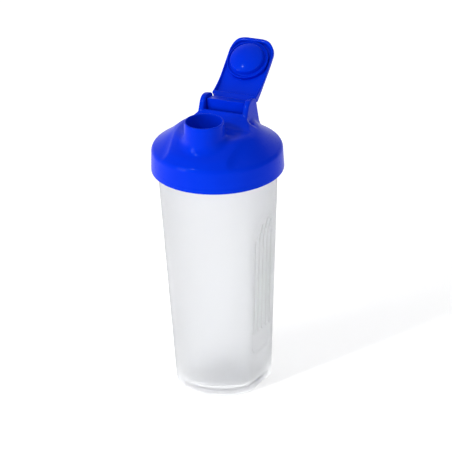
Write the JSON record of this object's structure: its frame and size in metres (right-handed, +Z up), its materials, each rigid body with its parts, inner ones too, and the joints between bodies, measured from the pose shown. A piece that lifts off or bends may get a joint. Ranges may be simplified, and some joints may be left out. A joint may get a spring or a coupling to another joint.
{
  "type": "protein shaker bottle",
  "caption": "Tapered frosted shaker cup with ribbed grip flats, a screw-on lid with a round drinking spout, and a hinged flip cap with a domed plug, shown open.",
  "frame": {"origin": "centre of the cup's resting face, on the axis of cup and lid", "axes": "+Z up along the cup's axis, -Y towards the drinking spout, +X along the flip cap's hinge"},
  "size_m": [0.098, 0.1274, 0.2446],
  "materials": {
    "cup_plastic": "frosted translucent polypropylene, fine satin surface",
    "lid_blue": "glossy moulded polypropylene, royal blue",
    "grid_blue": "moulded polypropylene, royal blue",
    "seal_silicone": "translucent white silicone"
  },
  "bodies": {
    "cup": {"bottle": "cup_plastic"},
    "seal_ring": {"lid_seal": "seal_silicone"},
    "lid": {"screw_lid": "lid_blue", "mixing_grid": "grid_blue"},
    "cap": {"flip_cap": "lid_blue", "spout_plug": "lid_blue"}
  },
  "joints": [
    {"name": "lid_lift", "type": "slide", "parent": "cup", "child": "seal_ring", "axis": [0, 0, 1], "range_m": [0, 0.005]},
    {"name": "lid_twist", "type": "hinge", "parent": "seal_ring", "child": "lid", "pos_m": [0, 0, 0.18], "axis": [0, 0, 1], "range_deg": [0, 360]},
    {"name": "cap_flip", "type": "hinge", "parent": "lid", "child": "cap", "pos_m": [0, 0.0219, 0.2116], "axis": [1, 0, 0], "range_deg": [-12, 143.2]}
  ],
  "couplings": [
    {"joint": "lid_lift", "follows": "lid_twist", "m_per_rad": 0.000795}
  ]
}
